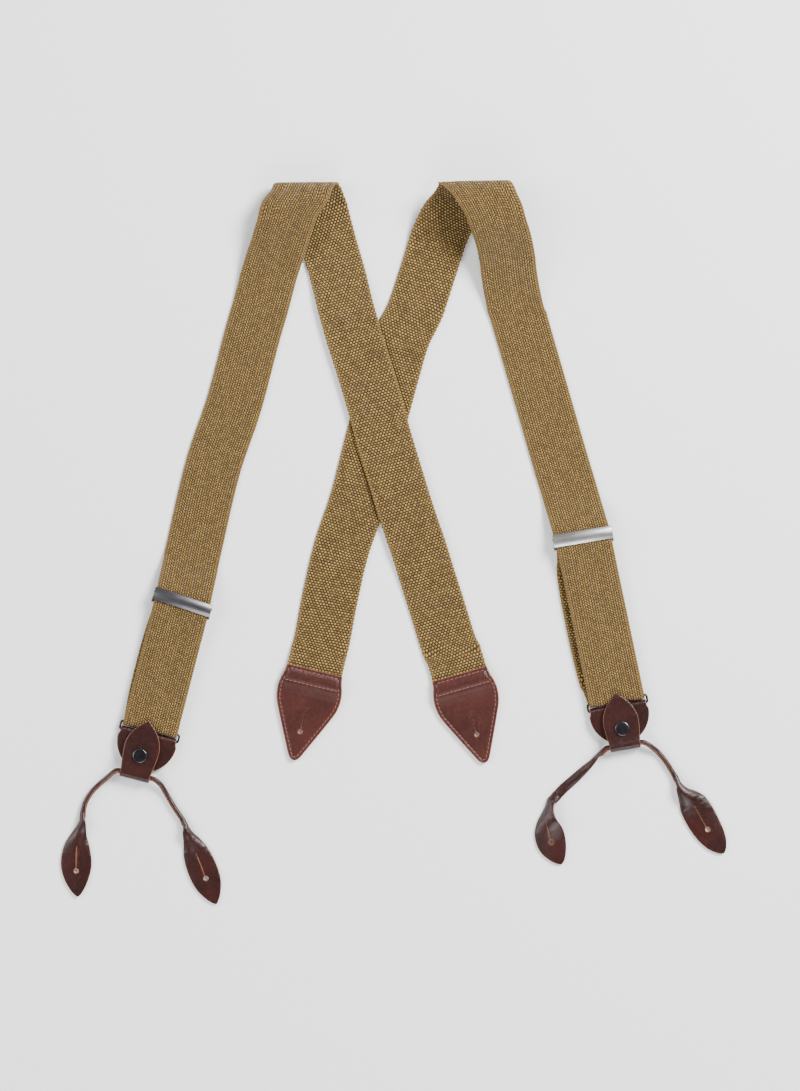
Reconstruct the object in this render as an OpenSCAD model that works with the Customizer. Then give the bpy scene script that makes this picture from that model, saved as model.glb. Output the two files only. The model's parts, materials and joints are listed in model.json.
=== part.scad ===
// Men's braces laid flat: two webbing straps that cross at the back, each with a
// leather back tab, a clamp slider, a wire loop and a press-stud leather front end.
// Every dimension is in millimetres. +Z is up from the surface they lie on, +Y runs
// to the shoulders, and x, y = 0 is the middle of the whole object.

/* [Webbing] */
// Width of the webbing
web_w = 37.6; // [36:0.1:37.8]
// Thickness of the webbing
web_t = 1.8; // [1.5:0.1:1.8]

/* [Slider] */
// Length of the slider's front plate, ears included
plate_l = 40.3; // [40:0.1:41]
// Height of the front plate along the strap
plate_h = 8.6; // [8:0.1:9.5]
// Thickness of the front plate
plate_t = 0.8; // [0.6:0.1:1.2]
// Thickness of the bent ears
ear_t = 0.6; // [0.5:0.05:0.6]
// Radius of the rear bar that holds the sewn webbing end
rear_bar_r = 1.0; // [0.9:0.05:1]
// Radius of the clamp lever's pin
pin_r = 0.6; // [0.5:0.05:0.6]
// Number of teeth on the clamp lever
tooth_count = 15; // [9:2:17]

/* [Wire loop] */
// Diameter of the wire
wire_d = 1.5; // [1.4:0.05:1.6]
// Outside width of the loop
ring_w = 42; // [41.5:0.5:44]
// Distance between the centres of its two long bars
bar_gap = 5.5; // [5.5:0.1:6.5]

/* [Leather] */
// Thickness of one layer of leather
leather_t = 1.4; // [1.2:0.1:1.4]
// Thickness of the back tab's lining
lining_t = 1.2; // [0.8:0.1:1.2]
// Thickness of a buttonhole leaf
leaf_t = 2.0; // [1.6:0.1:2.4]
// Radius of the round end of every buttonhole
hole_r = 1.6; // [1.5:0.05:1.8]
// Width of the slit that runs into each buttonhole
slit_w = 0.5; // [0.3:0.05:0.7]
// Diameter of the rolled leather cord
cord_d = 3.6; // [3.2:0.1:3.6]

/* [Snap fastener] */
// Diameter of the cap
cap_d = 9.9; // [9:0.1:10.5]
// Height of the domed cap
cap_h = 1.5; // [1:0.1:2]
// Diameter of the socket, the stud's foot and the post's foot
snap_d = 8.2; // [7.5:0.1:8.5]

/* [Hidden] */

khaki = [0.59, 0.47, 0.28];
brown = [0.30, 0.16, 0.14];
tan_edge = [0.60, 0.40, 0.30];
steel = [0.62, 0.62, 0.64];
gunmetal = [0.22, 0.21, 0.22];

// each strap is one of these two, and every list below has the left value first
left = 0;
right = 1;

// where the slider, the wire loop and the back tab of each strap lie, and their tilt
slider_at = [[-142, -39], [127.5, 5]];
slider_tilt = [-18, 9.5];
ring_at = [[-164.5, -126.5], [151, -107.5]];
ring_tilt = [-14.5, 10];
tab_at = [[44.5, -87.5], [-53, -85]];
tab_tilt = [16, -13.5];
// how far the strap above each slider leans from +Y
upper_lean = [11.5, -16];
// sideways place of the snap strap on its yoke, and how far its fold lies below the loop
snap_x = [-2, 0];
fold_y = [-30.5, -28.5];

// heights of the layers
half_t = web_t / 2;
gap = 0.1;
wire_r = wire_d / 2;
wire_z = web_t + wire_r + 0.15;
bend_at_wire = wire_z - half_t;
rear_bar_z = web_t + rear_bar_r + gap;
bend_at_bar = rear_bar_z - half_t;
web_over_bar = rear_bar_z + bend_at_bar + web_t + gap;
plate_z = web_over_bar + half_t + 0.25;
clamp_y = 1;
clamp_z = web_over_bar - half_t - 1.3;
tab_web_z = lining_t + gap / 2 + half_t;
leather_fit = 0.2;
fold_r = cord_d / 2 + gap;
strap_z = wire_z - wire_r - leather_fit + gap / 2;
fold_z = strap_z + leather_t + fold_r;
flap_low = fold_z + fold_r - 0.6;
cord_z = cord_d / 2;
snap_y = -17;
ear_x = plate_l / 2 - ear_t;

// ---- small helpers ----

function unit(v) = v / norm(v);
function xyz(q) = [q[0], q[1], q[2]];
function lean(a) = [sin(a), cos(a)];

// points of an arc in a side profile of [y, z], at the angles given
function arc(y, z, r, angles) = [for (a = angles) [y + r * cos(a), z + r * sin(a)]];

// a smooth curve through every point of a list, with n steps between neighbours
function curve_point(a, b, c, d, t) =
    (2 * b + (c - a) * t + (2 * a - 5 * b + 4 * c - d) * t * t
        + (3 * b - a - 3 * c + d) * t * t * t) / 2;
function smooth(points, n) =
    let (last = len(points) - 1)
    concat(
        [for (i = [0:last - 1], k = [0:n - 1])
            curve_point(points[max(i - 1, 0)], points[i], points[i + 1],
                points[min(i + 2, last)], k / n)],
        [points[last]]
    );

function along(route, i) =
    unit(xyz(route[min(i + 1, len(route) - 1)]) - xyz(route[max(i - 1, 0)]));

// the point at a distance to the left of point i of a flat route
function beside(route, i, distance) =
    let (ahead = along(route, i))
    [route[i].x, route[i].y] + distance * [-ahead.y, ahead.x];

// a closed skin over a row of rings that all have the same number of points
module skin(rings) {
    n = len(rings[0]);
    m = len(rings);
    polyhedron(
        points = [for (ring = rings) each ring],
        faces = concat(
            [for (i = [0:m - 2], j = [0:n - 1])
                [i * n + j, (i + 1) * n + j, (i + 1) * n + (j + 1) % n]],
            [for (i = [0:m - 2], j = [0:n - 1])
                [i * n + j, (i + 1) * n + (j + 1) % n, i * n + (j + 1) % n]],
            [[for (j = [0:n - 1]) j]],
            [[for (j = [n - 1:-1:0]) (m - 1) * n + j]]
        )
    );
}

// webbing along a route of [x, y, z, angle of the line across it], from one point of
// the route to another
module ribbon(route, first, last) {
    skin([for (i = [first:last])
        let (
            ahead = along(route, i),
            across = [cos(route[i][3]), sin(route[i][3]), 0],
            half = across * web_w / 2 / norm(cross(across, ahead)),
            up = unit(cross(across, ahead)) * half_t,
            p = xyz(route[i])
        )
        [p - half - up, p - half + up, p + half + up, p + half - up]
    ]);
}

// one ring of a round cord, square to the direction ahead
function cord_ring(p, ahead, r, sides) =
    let (side = unit(cross(ahead, [0, 0, 1])), up = cross(ahead, side))
    [for (j = [0:sides - 1])
        p + r * (cos(360 * j / sides) * side + sin(360 * j / sides) * up)];

// a round cord along a route of [x, y, z], whose first end is a ball centred on the route
module round_nosed_cord(route, sides = 10) {
    r = cord_d / 2;
    nose = along(route, 0);
    skin(concat(
        [for (a = [75:-25:25]) cord_ring(route[0] - r * sin(a) * nose, nose, r * cos(a), sides)],
        [for (i = [0:len(route) - 1]) cord_ring(route[i], along(route, i), r, sides)]
    ));
}

// an outline that is symmetrical about the y axis, from [half width, y] points
module leaf_shape(halves) {
    polygon(concat(halves, [for (i = [len(halves) - 1:-1:0]) [-halves[i].x, halves[i].y]]));
}

// leather cut to a plan outline and bent to a side profile of [y, z] points
module bent_leather(plan, profile) {
    intersection() {
        linear_extrude(12) leaf_shape(plan);
        rotate([90, 0, 90]) translate([0, 0, -25]) linear_extrude(50) polygon(profile);
    }
}

module at_slider(s) translate([slider_at[s].x, slider_at[s].y, 0]) rotate(slider_tilt[s]) children();
module at_ring(s) translate([ring_at[s].x, ring_at[s].y, 0]) rotate(ring_tilt[s]) children();
module at_snap(s) at_ring(s) translate([snap_x[s], 0, 0]) children();
module at_tab(s) translate([tab_at[s].x, tab_at[s].y, 0]) rotate(tab_tilt[s]) children();

module rod(r, length) rotate([0, 90, 0]) cylinder(r = r, h = length, center = true, $fn = 48);

// a point of the strap, measured up (+) or down (-) from its slider or its wire loop
function above_slider(s, d, z) =
    concat(slider_at[s] + d * lean(upper_lean[s]), [z, slider_tilt[s]]);
function below_slider(s, d, z) =
    concat(slider_at[s] + d * unit(ring_at[s] - slider_at[s]), [z, slider_tilt[s]]);
function above_ring(s, d, z) =
    concat(ring_at[s] + d * unit(slider_at[s] - ring_at[s]), [z, ring_tilt[s]]);

// ---- routes of the two straps ----

// from inside the back tab up to the outermost point of the shoulder fold
rear_route = [
    [[47.2, -97, tab_web_z, 16], [44.5, -87.5, tab_web_z, 16], [41, -76, 1.5, 16],
     [37, -67, half_t, 16], [30.5, -46, half_t, 15], [23.5, -24, 1.2, 14],
     [17, -3, 2.6, 13], [12.5, 10, 2.9, 13], [6, 30, 2.9, 13], [-7, 73, 2.9, 12],
     [-12.5, 94, 2.9, 9], [-19, 116, 2.9, 6], [-26, 138, 2.9, 3], [-32, 159, 2.8, 0],
     [-37.5, 181, 1.2, 0], [-43.5, 202, half_t, 0], [-49.5, 224, half_t, 0],
     [-53.5, 234.5, 1.7, 0], [-56.5, 240.5, 4.2, 0], [-58.5, 242.8, 7.4, 0]],
    [[-55.2, -94.5, tab_web_z, -13.5], [-53, -85, tab_web_z, -13.5],
     [-50.5, -74, 1.5, -13.5], [-48, -64, half_t, -13.5], [-42.5, -35, half_t, -13],
     [-35, -3, half_t, -13], [-24, 30, half_t, -13], [-13, 73, half_t, -12],
     [-7, 94, half_t, -10], [-1, 116, half_t, -7], [5.5, 138, half_t, -4],
     [15, 159, half_t, 0], [22.5, 181, half_t, 0], [29.5, 203, 1.6, 0],
     [34, 213.5, 3.6, 0.5], [40, 224, 7, 1], [47, 234, 11.5, 1], [51.5, 241, 16.5, 1],
     [53.5, 242.6, 19.5, 1]]
];
// from just past the outermost point of the fold down towards the slider
fold_route = [
    [[-60.5, 240.7, 10.8, 0], [-63.5, 234.5, 13, 0],
     [-69.5, 224, 13.2, 0], [-73.5, 213, 10.7, 0], [-77, 202, 7.5, 0],
     [-80.5, 192, 4.9, 0], [-84, 181, 2.7, 0], [-87, 170, 1.4, 0], [-90, 159, half_t, 0],
     [-96, 138, half_t, -2], [-107.5, 94.5, half_t, -6], [-122, 51, half_t, -12]],
    [[56, 241, 22, 1], [60.5, 235, 24, 1], [66.5, 224, 24.3, 1],
     [70.5, 213.5, 21.8, 0.5], [74, 203, 17, 0], [76.5, 192, 11.5, 0], [78, 181, 7, 0],
     [80, 170, 3.6, 0], [82.5, 159, 1.5, 0], [86, 148, half_t, 1], [101.5, 94.5, half_t, 7],
     [113.5, 53, half_t, 12]]
];
// the whole strap is one smooth curve, cut in two at the outermost point of the fold
function strap_route(s) = smooth(concat(rear_route[s], fold_route[s], [
    above_slider(s, 36, half_t), above_slider(s, 25, 2), above_slider(s, 16, 4.6),
    above_slider(s, 8, web_over_bar - 0.2), above_slider(s, 4, web_over_bar),
    above_slider(s, 0.2, web_over_bar)
]), 2);
function fold_point(s) = 2 * (len(rear_route[s]) - 1);

// down from the slider, round the wire loop, back up and round the slider's rear bar,
// with the end turned down and sewn to the layer below it
function loop_route(s) =
    let (
        d = norm(ring_at[s] - slider_at[s]),
        wire_y = bar_gap / 2,
        top = wire_z + bend_at_wire
    )
    concat(
        [below_slider(s, 0.2, web_over_bar), below_slider(s, 5, web_over_bar),
         below_slider(s, 10, web_over_bar - 0.3), below_slider(s, 18, 5.6),
         below_slider(s, 28, 4.8), above_ring(s, 25, top), above_ring(s, 12, top)],
        [for (a = [90:22.5:270])
            above_ring(s, wire_y + bend_at_wire * cos(a), wire_z + bend_at_wire * sin(a))],
        [above_ring(s, 12, half_t), above_ring(s, d / 2, half_t), below_slider(s, 14, half_t)],
        [for (a = [-90:22.5:90])
            below_slider(s, 5 - bend_at_bar * cos(a), rear_bar_z + bend_at_bar * sin(a))],
        [below_slider(s, 9, 4.2), below_slider(s, 13.5, 3), below_slider(s, 22, 2.8)]
    );

// ---- webbing ----

module rear_webbing(s) color(khaki) ribbon(strap_route(s), 0, fold_point(s));
module front_webbing(s) color(khaki)
    ribbon(strap_route(s), fold_point(s), len(strap_route(s)) - 1);
module adjuster_loop_webbing(s) color(khaki)
    ribbon(loop_route(s), 0, len(loop_route(s)) - 1);

// ---- slider ----

// front plate with an ear bent back at each end, bored for the rear bar and the pin
module slider_frame(s) color(steel) at_slider(s) difference() {
    union() {
        translate([-plate_l / 2, -plate_h / 2, plate_z]) cube([plate_l, plate_h, plate_t]);
        for (side = [-1, 1])
            translate([side * (ear_x + ear_t / 2) - ear_t / 2, 0, 0]) rotate([90, 0, 90])
                linear_extrude(ear_t) polygon([
                    [-plate_h / 2, plate_z + plate_t], [-plate_h / 2, plate_z - 1],
                    [-6.6, rear_bar_z + 0.8], [-6.6, rear_bar_z - 0.8],
                    [-5.8, rear_bar_z - 1.5], [-4.2, rear_bar_z - 1.5],
                    [1.8, clamp_z - 1.3], [2.4, clamp_z - 0.7],
                    [plate_h / 2 - 1, plate_z], [plate_h / 2 - 1, plate_z + plate_t]]);
    }
    translate([0, -5, rear_bar_z]) rod(rear_bar_r + 0.02, plate_l + 2);
    translate([0, clamp_y, clamp_z]) rod(pin_r + 0.02, plate_l + 2);
}

module slider_rear_bar(s) color(gunmetal) at_slider(s)
    translate([0, -5, rear_bar_z]) rod(rear_bar_r, plate_l + 0.8);

module clamp_pin(s) color(gunmetal) at_slider(s)
    translate([0, clamp_y, clamp_z]) rod(pin_r, plate_l + 0.8);

// toothed lever that presses the strap against the front plate, with a finger tab
module clamp_lever(s) color(steel) at_slider(s) translate([0, clamp_y, clamp_z]) {
    pitch = 2.2;
    difference() {
        union() {
            rod(0.95, 2 * ear_x - 0.8);
            translate([-16.5, 0, -0.9]) cube([33, 8.6, 0.8]);
            for (i = [0:tooth_count - 1])
                translate([(i - (tooth_count - 1) / 2) * pitch - 0.6, 0, 0]) rotate([90, 0, 90])
                    linear_extrude(1.2) polygon([[-0.55, 0.65], [0.55, 0.65], [0, 1.18]]);
        }
        rod(pin_r + 0.05, plate_l);
    }
}

// ---- wire loop ----

module wire_loop(s) color(gunmetal) at_ring(s) translate([0, 0, wire_z]) {
    bend = 1.6;
    end_x = ring_w / 2 - wire_r - bend;
    end_y = bar_gap / 2 - bend;
    for (side = [-1, 1]) {
        translate([0, side * bar_gap / 2, 0]) rod(wire_r, 2 * end_x);
        translate([side * (end_x + bend), 0, 0]) rotate([90, 0, 0])
            cylinder(r = wire_r, h = 2 * end_y, center = true, $fn = 48);
        for (up = [-1, 1])
            translate([side * end_x, up * end_y, 0])
                rotate([0, 0, side == 1 ? (up == 1 ? 0 : -90) : (up == 1 ? 90 : 180)])
                    rotate_extrude(angle = 90, $fn = 48) translate([bend, 0]) circle(r = wire_r, $fn = 48);
    }
}

// ---- leather front end ----

// round hole for the barrel of the snap fastener's post
module snap_hole(r) translate([0, snap_y, 0]) cylinder(r = r, h = 12, $fn = 48);

// half-moon piece folded over the loop's lower bar and sewn to itself
module yoke_leather(s) color(brown) at_ring(s) difference() {
    low = -24.5;
    hook_y = -bar_gap / 2;
    inner = wire_r + leather_fit;
    outer = inner + leather_t;
    front_z = fold_z - fold_r + gap / 2;
    bent_leather(
        concat([[19.2, 0], [19.2, -4.5], [20.2, -6.5]],
            [for (a = [12:12:60]) [20.2 * cos(a), -6.5 - 20.8 * sin(a)]]),
        concat([[low, wire_z - outer]], arc(hook_y, wire_z, outer, [-90:15:90]),
            [[-9, front_z + leather_t], [low, front_z + leather_t], [low, front_z], [-9, front_z]],
            arc(hook_y, wire_z, inner, [90:-15:-90]), [[low, wire_z - inner]]));
    translate([snap_x[s], 0, 0]) snap_hole(1.55);
}

// strap of the snap, sewn inside the yoke and folded forward round the mousetail
module snap_strap_back(s) color(brown) at_snap(s) difference() {
    outer = fold_r + leather_t;
    bent_leather([[9.8, -6], [10, -22], [10.2, fold_y[s] - outer - 1]],
        concat([[-6, fold_z - outer]], arc(fold_y[s], fold_z, outer, [270:-15:90]),
            arc(fold_y[s], fold_z, fold_r, [90:15:270]), [[-6, fold_z - fold_r]]));
    snap_hole(1.55);
}

// front flap with a pointed end, which carries the cap and lifts off the stud
module snap_flap(s) color(brown) at_snap(s) difference() {
    start = fold_y[s] + 0.15;
    tip = 7;
    bent_leather(
        smooth([[0, tip], [3.4, 4.2], [7, 0.6], [10, -4], [11.7, -9], [12, -13],
            [11.7, -18], [10.8, -25], [10.2, start]], 3),
        [[start, fold_z + fold_r], [start, fold_z + fold_r + leather_t],
         [-21, flap_low + leather_t], [tip, flap_low + leather_t], [tip, flap_low], [-21, flap_low]]);
    snap_hole(1.55);
}

module snap_cap(s) color(gunmetal) at_snap(s)
    translate([0, snap_y, flap_low + leather_t + 0.05]) {
        rotate_extrude($fn = 64) polygon(concat(
            [[0, 0], [cap_d / 2, 0], [cap_d / 2, 0.35]],
            [for (a = [12:12:90]) [(cap_d / 2 - 0.15) * cos(a), 0.35 + (cap_h - 0.35) * sin(a)]]));
        translate([0, 0, -leather_t]) cylinder(r = 1.45, h = leather_t + 0.1, $fn = 48);
    }

module snap_socket(s) color(steel) at_snap(s) translate([0, snap_y, 0]) difference() {
    translate([0, 0, flap_low - 1.15]) cylinder(d = snap_d, h = 1.1, $fn = 64);
    translate([0, 0, flap_low - 2]) cylinder(r = 2.05, h = 1.7, $fn = 48);
}

module snap_stud(s) color(steel) at_snap(s) translate([0, snap_y, 0]) {
    foot_z = fold_z - fold_r + gap / 2 + leather_t + 0.05;
    translate([0, 0, foot_z]) cylinder(d = snap_d, h = 0.3, $fn = 64);
    translate([0, 0, foot_z]) cylinder(r = 1.8, h = 1.2, $fn = 48);
}

module snap_post(s) color(steel) at_snap(s) translate([0, snap_y, 0]) {
    foot_top = wire_z - wire_r - leather_fit - leather_t - 0.03;
    translate([0, 0, foot_top - 0.25]) cylinder(d = snap_d, h = 0.25, $fn = 64);
    translate([0, 0, foot_top - 0.1])
        cylinder(r = 1.45, h = fold_z - fold_r + leather_t + 0.1 - foot_top, $fn = 48);
}

// ---- mousetail: one rolled cord through the snap's fold, with a leaf at each end ----

// routes of the two legs of each mousetail, from the snap's fold to the neck of the leaf
cord_drop = [fold_z, fold_z - 0.2, 3.6, 2.2, cord_z, cord_z, cord_z, cord_z];
outer_cord_xy = [
    [[-186, -152.5], [-189, -154], [-192.5, -157], [-196, -160], [-200, -163.5],
     [-204, -168], [-208, -175], [-210, -184]],
    [[168, -133.5], [171.5, -135], [175, -137.5], [178, -140], [182, -144.5],
     [185.5, -149.5], [188.5, -154.5], [191.5, -159.5]]
];
inner_cord_xy = [
    [[-161.5, -158.5], [-158.5, -160.5], [-156, -163.5], [-153.5, -168], [-150, -174],
     [-147, -179], [-143.5, -184], [-140.5, -189]],
    [[144, -137.5], [141, -139.5], [138, -142], [134.5, -145.5], [128, -152],
     [120, -160], [113, -166.5], [107.5, -172]]
];
function leg_route(flat) = smooth([for (i = [0:len(flat) - 1])
    [flat[i].x, flat[i].y, cord_drop[i]]], 2);

module mousetail_centre(s) color(brown) at_snap(s)
    translate([0, fold_y[s], fold_z]) rod(cord_d / 2, 20.6);

// leg of the cord, whose round nose turns beside the fold
module leg_cord(flat) color(brown) round_nosed_cord(leg_route(flat));

// leaf along a spine of neck, belly, hole and tip, slit from belly to hole
module leaf(spine) color(brown) {
    path = smooth([for (p = spine) [p.x, p.y, 0]], 6);
    last = len(path) - 1;
    widths = smooth([[2.4, 0], [3.6, 0], [8, 0], [10, 0], [9.8, 0], [6.8, 0], [0.6, 0]], 3);
    hole = spine[2];
    difference() {
        linear_extrude(leaf_t) polygon(concat(
            [for (i = [0:last]) beside(path, i, widths[i].x)],
            [for (i = [last:-1:0]) beside(path, i, -widths[i].x)]));
        translate([hole.x, hole.y, -1]) cylinder(r = hole_r, h = leaf_t + 2, $fn = 48);
        buttonhole_slit(hole, spine[1], leaf_t);
    }
}

module buttonhole_slit(hole, from, depth) {
    run = from - hole;
    translate([hole.x, hole.y, -1]) rotate(atan2(run.y, run.x))
        translate([0, -slit_w / 2, 0]) cube([norm(run), slit_w, depth + 2]);
}

// neck, slit top, hole and tip of every leaf
outer_spine = [
    [[-210.3, -186.3], [-213.5, -204], [-214, -220.5], [-213, -238]],
    [[193, -162], [203, -177], [212, -192.5], [223, -208.5]]
];
inner_spine = [
    [[-139.3, -191.2], [-133, -209], [-126.5, -225.5], [-119.5, -243]],
    [[105.8, -173.8], [103.5, -187], [106.5, -201], [113.5, -216]]
];

// ---- back tabs ----

tab_length = 62.6;
tab_hole_y = -42.7;
tab_slit_top = -26;
tab_outline = smooth([[19.2, 0], [19.9, -5], [21.4, -10.5], [22, -17], [20.8, -24.5],
    [17.6, -32], [13.8, -40], [9.9, -48], [6.5, -55], [3.9, -60], [2, -62],
    [0.1, -tab_length]], 2);

module tab_buttonhole() {
    translate([0, tab_hole_y, -1]) cylinder(r = hole_r, h = 12, $fn = 48);
    buttonhole_slit([0, tab_hole_y], [0, tab_slit_top], 10);
}

// outer leather of the back tab, which steps down off the end of the webbing
module rear_tab_face(s) color(brown) at_tab(s) difference() {
    over = tab_web_z + half_t + gap / 2;
    low = -tab_length - 1;
    bent_leather(tab_outline, [[0, over], [-10.5, over], [-19, lining_t], [low, lining_t],
        [low, lining_t + leather_t], [-19, lining_t + leather_t],
        [-10.5, over + leather_t], [0, over + leather_t]]);
    tab_buttonhole();
}

module rear_tab_lining(s) color(tan_edge) at_tab(s) difference() {
    linear_extrude(lining_t) leaf_shape(tab_outline);
    tab_buttonhole();
}

rear_webbing(left);  // left_rear_webbing
front_webbing(left);  // left_front_webbing
adjuster_loop_webbing(left);  // left_adjuster_loop_webbing
slider_frame(left);  // left_slider_frame
slider_rear_bar(left);  // left_slider_rear_bar
clamp_lever(left);  // left_clamp_lever
clamp_pin(left);  // left_clamp_pin
wire_loop(left);  // left_wire_loop
yoke_leather(left);  // left_yoke_leather
snap_strap_back(left);  // left_snap_strap_back
snap_flap(left);  // left_snap_flap
snap_cap(left);  // left_snap_cap
snap_socket(left);  // left_snap_socket
snap_stud(left);  // left_snap_stud
snap_post(left);  // left_snap_post
mousetail_centre(left);  // left_mousetail_centre
leg_cord(outer_cord_xy[left]);  // left_outer_cord
leaf(outer_spine[left]);  // left_outer_leaf
leg_cord(inner_cord_xy[left]);  // left_inner_cord
leaf(inner_spine[left]);  // left_inner_leaf
rear_tab_face(left);  // left_rear_tab_face
rear_tab_lining(left);  // left_rear_tab_lining
rear_webbing(right);  // right_rear_webbing
front_webbing(right);  // right_front_webbing
adjuster_loop_webbing(right);  // right_adjuster_loop_webbing
slider_frame(right);  // right_slider_frame
slider_rear_bar(right);  // right_slider_rear_bar
clamp_lever(right);  // right_clamp_lever
clamp_pin(right);  // right_clamp_pin
wire_loop(right);  // right_wire_loop
yoke_leather(right);  // right_yoke_leather
snap_strap_back(right);  // right_snap_strap_back
snap_flap(right);  // right_snap_flap
snap_cap(right);  // right_snap_cap
snap_socket(right);  // right_snap_socket
snap_stud(right);  // right_snap_stud
snap_post(right);  // right_snap_post
mousetail_centre(right);  // right_mousetail_centre
leg_cord(outer_cord_xy[right]);  // right_outer_cord
leaf(outer_spine[right]);  // right_outer_leaf
leg_cord(inner_cord_xy[right]);  // right_inner_cord
leaf(inner_spine[right]);  // right_inner_leaf
rear_tab_face(right);  // right_rear_tab_face
rear_tab_lining(right);  // right_rear_tab_lining
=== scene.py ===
# %% [markdown]
# # Button-on braces, laid out flat
#
# This lesson dresses a measured model of a pair of men's braces. The measured model is the
# frame: it says where every slider, wire loop, hinge and buttonhole is. Blender adds what cloth,
# leather and plated metal look like. One thing lies a little differently here: the webbing that
# runs back from each wire loop is set a few millimetres aside, so that its edge shows.

# %% Load the frame
import json
import math

import bpy
import numpy as np
from mathutils import Matrix, Vector


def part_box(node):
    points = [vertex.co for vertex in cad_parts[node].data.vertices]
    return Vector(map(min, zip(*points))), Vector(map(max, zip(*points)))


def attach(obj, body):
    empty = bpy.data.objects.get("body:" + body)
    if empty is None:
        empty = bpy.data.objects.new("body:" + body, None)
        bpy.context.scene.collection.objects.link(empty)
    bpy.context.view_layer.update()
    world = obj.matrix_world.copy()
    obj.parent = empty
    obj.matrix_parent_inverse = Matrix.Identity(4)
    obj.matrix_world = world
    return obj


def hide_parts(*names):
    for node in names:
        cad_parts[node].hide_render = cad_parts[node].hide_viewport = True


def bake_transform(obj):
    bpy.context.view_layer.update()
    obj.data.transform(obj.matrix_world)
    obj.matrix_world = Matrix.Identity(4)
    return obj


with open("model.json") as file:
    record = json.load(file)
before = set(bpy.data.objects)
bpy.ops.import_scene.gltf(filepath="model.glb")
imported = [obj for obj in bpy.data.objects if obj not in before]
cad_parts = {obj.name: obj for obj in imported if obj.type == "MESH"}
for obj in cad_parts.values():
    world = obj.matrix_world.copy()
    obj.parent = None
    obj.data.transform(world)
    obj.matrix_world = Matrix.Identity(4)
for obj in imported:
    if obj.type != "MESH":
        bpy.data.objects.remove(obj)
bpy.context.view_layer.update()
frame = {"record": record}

MM = 0.001
SIDES = ("left", "right")
joints = {joint["name"]: joint for joint in frame["record"]["behaviour"]["joints"]}
mounts = {mount["name"]: mount for mount in frame["record"]["mounts"]}

# %% [markdown]
# ## Table top, camera and light
#
# The braces lie on a plain pale surface and are seen from straight above. A long lens far away
# keeps the straps from leaning outwards. The light is a big soft box from the upper right, which
# gives the straps their gentle shadow on the lower left, and an even grey sky fills the rest.

# %% Table top
def active_object():
    return bpy.context.view_layer.objects.active


def pick(active, *others):
    """Selects these objects and nothing else, with the first of them active."""
    bpy.ops.object.select_all(action="DESELECT")
    for obj in (active, *others):
        obj.select_set(True)
    bpy.context.view_layer.objects.active = active


def apply_modifier(obj, kind, **settings):
    pick(obj)
    bpy.ops.object.modifier_add(type=kind)
    modifier = obj.modifiers[-1]
    for key, value in settings.items():
        setattr(modifier, key, value)
    bpy.ops.object.modifier_apply(modifier=modifier.name)


bpy.ops.mesh.primitive_plane_add(size=6, location=(0, 0, 0))
table_top = active_object()
table_top.name = "table_top"

# %% Camera
FRAME_HEIGHT = 0.7365
CAMERA_HEIGHT = 2.6
VIEW_CENTRE = (0.0044, -0.0010)

bpy.ops.object.camera_add(location=(*VIEW_CENTRE, CAMERA_HEIGHT), rotation=(0, 0, 0))
camera = active_object()
camera.data.sensor_width = 36
camera.data.lens = 18 * CAMERA_HEIGHT / (FRAME_HEIGHT / 2)
camera.data.clip_end = 20
bpy.context.scene.camera = camera
print("lens", round(camera.data.lens, 1), "mm")

# %% Lights
def soft_box(name, place, width, height, watts):
    """A rectangular studio light at place, turned to face the middle of the table."""
    bpy.ops.object.light_add(type="AREA", location=place)
    light = active_object()
    light.name = name
    light.data.shape = "RECTANGLE"
    light.data.size = width
    light.data.size_y = height
    light.data.energy = watts
    light.rotation_euler = (-Vector(place)).to_track_quat("-Z", "Y").to_euler()


soft_box("key_light", (1.3, 1.1, 1.35), 0.9, 0.9, 150)
soft_box("left_fill", (-1.8, 0.3, 1.2), 1.4, 1.4, 55)
soft_box("front_fill", (0.1, -1.9, 1.2), 1.6, 1.0, 50)

sky = bpy.data.worlds.new("studio_sky")
sky.use_nodes = True
background = sky.node_tree.nodes["Background"]
background.inputs["Color"].default_value = (0.93, 0.95, 1.0, 1)
background.inputs["Strength"].default_value = 0.42
bpy.context.scene.world = sky

# %% [markdown]
# ## Node helpers
#
# Every material here is worked out by shader nodes from the piece's own coordinates. A recipe
# starts a material and has a short way to add each kind of node and join it up.

# %% Material helpers
SURFACE_INPUTS = {"colour": "Base Color", "rough": "Roughness", "specular": "Specular IOR Level",
                  "sheen": "Sheen Weight", "sheen_rough": "Sheen Roughness",
                  "metallic": "Metallic"}


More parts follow.
